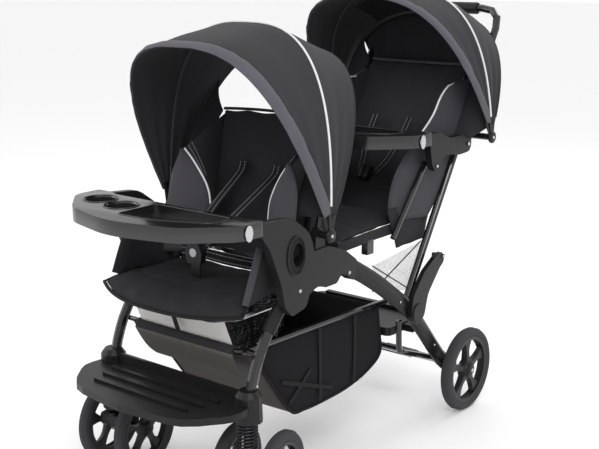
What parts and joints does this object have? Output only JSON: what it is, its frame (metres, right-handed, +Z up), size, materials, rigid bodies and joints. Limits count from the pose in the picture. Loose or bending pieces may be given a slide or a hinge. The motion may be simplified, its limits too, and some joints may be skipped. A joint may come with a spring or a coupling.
{
  "type": "sit and stand stroller",
  "caption": "Tandem sit and stand stroller: hooded front seat, rear jump seat with standing platform, trays, basket and sprung caster wheels on a folding frame.",
  "frame": {"origin": "on the floor, midway between the front and rear ends and on the centre plane", "axes": "+Z up, -Y forward in the direction of travel, +X towards the riders' left"},
  "size_m": [0.5757, 1.2769, 1.1243],
  "materials": {
    "moulding": "satin black moulded plastic",
    "gloss_tube": "gloss black powder coat on steel tube",
    "leg_tube": "satin black paint on oval aluminium tube",
    "bright_steel": "bright zinc-plated wire and rod",
    "tyre": "dark grey foam tyre",
    "wheel_plastic": "dark moulded wheel",
    "button": "light grey moulded button",
    "seat_cloth": "charcoal woven polyester",
    "basket_cloth": "grey-brown cloth and mesh",
    "foam": "black foam grip"
  },
  "bodies": {
    "chassis": {"arch_left": "moulding", "arch_right": "moulding", "rear_leg_left": "leg_tube", "rear_leg_right": "leg_tube", "hinge_cover_left": "moulding", "hinge_cover_right": "moulding", "rear_frame": "gloss_tube", "rear_axle": "bright_steel", "standing_platform": "moulding", "front_seat_frame": "bright_steel", "front_seat_pad": "seat_cloth", "rear_seat_frame": "gloss_tube", "rear_seat_pad": "seat_cloth", "front_buckle": "moulding"},
    "push_frame": {"push_frame": "gloss_tube", "handle_grip": "foam", "parent_console": "moulding", "rear_back_pad": "seat_cloth"},
    "front_frame": {"footrest": "moulding", "front_leg_left": "gloss_tube", "front_leg_right": "gloss_tube", "armrest_left": "moulding", "armrest_right": "moulding", "spring_left": "bright_steel", "spring_right": "bright_steel"},
    "rear_arms": {"rear_armrest_left": "moulding", "rear_armrest_right": "moulding"},
    "posts": {"post_left": "gloss_tube", "post_right": "gloss_tube"},
    "front_tray": {"front_tray": "moulding"},
    "rear_tray": {"rear_tray": "moulding"},
    "front_tray_button_left": {"front_tray_button_left": "button"},
    "front_tray_button_right": {"front_tray_button_right": "button"},
    "rear_tray_button_left": {"rear_tray_button_left": "button"},
    "rear_tray_button_right": {"rear_tray_button_right": "button"},
    "fold_trigger": {"fold_trigger": "moulding"},
    "buckle_button": {"buckle_button": "button"},
    "front_recliner": {"front_recliner": "bright_steel"},
    "front_backrest": {"front_backrest": "seat_cloth"},
    "basket": {"basket_frame": "gloss_tube", "basket": "basket_cloth"},
    "front_canopy": {"front_canopy": "seat_cloth"},
    "rear_canopy": {"rear_canopy": "seat_cloth"},
    "brake_bar": {"brake_bar": "moulding"},
    "strut_left": {"strut_left": "moulding"},
    "strut_right": {"strut_right": "moulding"},
    "fork_left": {"fork_left": "moulding"},
    "fork_right": {"fork_right": "moulding"},
    "rear_wheel_left": {"rear_tyre_left": "tyre", "rear_rim_left": "wheel_plastic"},
    "rear_wheel_right": {"rear_tyre_right": "tyre", "rear_rim_right": "wheel_plastic"},
    "front_wheel_left_outer": {"front_tyre_left_outer": "tyre", "front_rim_left_outer": "wheel_plastic"},
    "front_wheel_left_inner": {"front_tyre_left_inner": "tyre", "front_rim_left_inner": "wheel_plastic"},
    "front_wheel_right_outer": {"front_tyre_right_outer": "tyre", "front_rim_right_outer": "wheel_plastic"},
    "front_wheel_right_inner": {"front_tyre_right_inner": "tyre", "front_rim_right_inner": "wheel_plastic"}
  },
  "joints": [
    {"name": "frame_fold", "type": "hinge", "parent": "chassis", "child": "push_frame", "pos_m": [0, 0.1625, 0.321], "axis": [1, 0, 0], "range_deg": [0, 80], "deforming": ["front_canopy", "rear_canopy", "basket", "rear_back_pad"]},
    {"name": "front_legs_fold", "type": "hinge", "parent": "chassis", "child": "front_frame", "pos_m": [0, -0.3265, 0.497], "axis": [1, 0, 0], "range_deg": [0, 50]},
    {"name": "rear_arms_fold", "type": "hinge", "parent": "push_frame", "child": "rear_arms", "pos_m": [0, 0.40895, 0.72003], "axis": [1, 0, 0], "range_deg": [-101, 0]},
    {"name": "posts_fold", "type": "hinge", "parent": "rear_arms", "child": "posts", "pos_m": [0, 0.257, 0.682], "axis": [1, 0, 0], "range_deg": [0, 101]},
    {"name": "recliner_fold", "type": "hinge", "parent": "chassis", "child": "front_recliner", "pos_m": [0, -0.1875, 0.49], "axis": [1, 0, 0], "range_deg": [0, 66]},
    {"name": "basket_fold", "type": "hinge", "parent": "front_frame", "child": "basket", "pos_m": [0, -0.4175, 0.37], "axis": [1, 0, 0], "range_deg": [-50, 0]},
    {"name": "backrest_recline", "type": "hinge", "parent": "front_recliner", "child": "front_backrest", "pos_m": [0, -0.1875, 0.49], "axis": [1, 0, 0], "range_deg": [-15, 0]},
    {"name": "front_tray_slide", "type": "slide", "parent": "front_frame", "child": "front_tray", "axis": [0, -1, 0], "range_m": [0, 0.045]},
    {"name": "rear_tray_slide", "type": "slide", "parent": "rear_arms", "child": "rear_tray", "axis": [0, -1, 0], "range_m": [0, 0.045]},
    {"name": "front_tray_button_left_press", "type": "slide", "parent": "front_tray", "child": "front_tray_button_left", "axis": [-1, 0, 0], "range_m": [0, 0.003], "stiffness_N_per_m": 400, "springref_m": -0.002},
    {"name": "rear_tray_button_left_press", "type": "slide", "parent": "rear_tray", "child": "rear_tray_button_left", "axis": [-1, 0, 0], "range_m": [0, 0.003], "stiffness_N_per_m": 400, "springref_m": -0.002},
    {"name": "front_tray_button_right_press", "type": "slide", "parent": "front_tray", "child": "front_tray_button_right", "axis": [1, 0, 0], "range_m": [0, 0.003], "stiffness_N_per_m": 400, "springref_m": -0.002},
    {"name": "rear_tray_button_right_press", "type": "slide", "parent": "rear_tray", "child": "rear_tray_button_right", "axis": [1, 0, 0], "range_m": [0, 0.003], "stiffness_N_per_m": 400, "springref_m": -0.002},
    {"name": "buckle_button_press", "type": "slide", "parent": "chassis", "child": "buckle_button", "axis": [0, 1, 0], "range_m": [0, 0.002], "stiffness_N_per_m": 600, "springref_m": -0.002},
    {"name": "fold_trigger_squeeze", "type": "slide", "parent": "push_frame", "child": "fold_trigger", "axis": [0, 0.5255, 0.8508], "range_m": [0, 0.007], "stiffness_N_per_m": 500, "springref_m": -0.004},
    {"name": "brake_press", "type": "hinge", "parent": "chassis", "child": "brake_bar", "pos_m": [0, 0.378, 0.1125], "axis": [1, 0, 0], "range_deg": [-20, 0]},
    {"name": "front_canopy_tilt", "type": "hinge", "parent": "chassis", "child": "front_canopy", "pos_m": [0, -0.2275, 0.6], "axis": [1, 0, 0], "range_deg": [-40, 10]},
    {"name": "rear_canopy_tilt", "type": "hinge", "parent": "push_frame", "child": "rear_canopy", "pos_m": [0, 0.4575, 0.735], "axis": [1, 0, 0], "range_deg": [-15, 25]},
    {"name": "strut_left_travel", "type": "slide", "parent": "front_frame", "child": "strut_left", "axis": [0, 0, 1], "range_m": [0, 0.012], "stiffness_N_per_m": 8000, "springref_m": -0.01, "deforming": ["spring_left"]},
    {"name": "caster_left_swivel", "type": "hinge", "parent": "strut_left", "child": "fork_left", "pos_m": [0.21, -0.4655, 0.15], "axis": [0, 0, 1], "continuous": true},
    {"name": "front_wheel_left_outer_spin", "type": "hinge", "parent": "fork_left", "child": "front_wheel_left_outer", "pos_m": [0.25486, -0.41201, 0.102], "axis": [0.9781, 0.2079, 0], "continuous": true},
    {"name": "front_wheel_left_inner_spin", "type": "hinge", "parent": "fork_left", "child": "front_wheel_left_inner", "pos_m": [0.14726, -0.43488, 0.102], "axis": [0.9781, 0.2079, 0], "continuous": true},
    {"name": "rear_wheel_left_spin", "type": "hinge", "parent": "chassis", "child": "rear_wheel_left", "pos_m": [0.252, 0.378, 0.1125], "axis": [1, 0, 0], "continuous": true},
    {"name": "strut_right_travel", "type": "slide", "parent": "front_frame", "child": "strut_right", "axis": [0, 0, 1], "range_m": [0, 0.012], "stiffness_N_per_m": 8000, "springref_m": -0.01, "deforming": ["spring_right"]},
    {"name": "caster_right_swivel", "type": "hinge", "parent": "strut_right", "child": "fork_right", "pos_m": [-0.21, -0.4655, 0.15], "axis": [0, 0, 1], "continuous": true},
    {"name": "front_wheel_right_outer_spin", "type": "hinge", "parent": "fork_right", "child": "front_wheel_right_outer", "pos_m": [-0.26919, -0.42849, 0.102], "axis": [0.9945, 0.1045, 0], "continuous": true},
    {"name": "front_wheel_right_inner_spin", "type": "hinge", "parent": "fork_right", "child": "front_wheel_right_inner", "pos_m": [-0.1598, -0.41699, 0.102], "axis": [0.9945, 0.1045, 0], "continuous": true},
    {"name": "rear_wheel_right_spin", "type": "hinge", "parent": "chassis", "child": "rear_wheel_right", "pos_m": [-0.252, 0.378, 0.1125], "axis": [1, 0, 0], "continuous": true}
  ],
  "couplings": [
    {"joint": "front_legs_fold", "follows": "frame_fold", "ratio": 0.625},
    {"joint": "rear_arms_fold", "follows": "frame_fold", "ratio": -1.2625},
    {"joint": "posts_fold", "follows": "frame_fold", "ratio": 1.2625},
    {"joint": "recliner_fold", "follows": "frame_fold", "ratio": 0.825},
    {"joint": "basket_fold", "follows": "frame_fold", "ratio": -0.625}
  ]
}
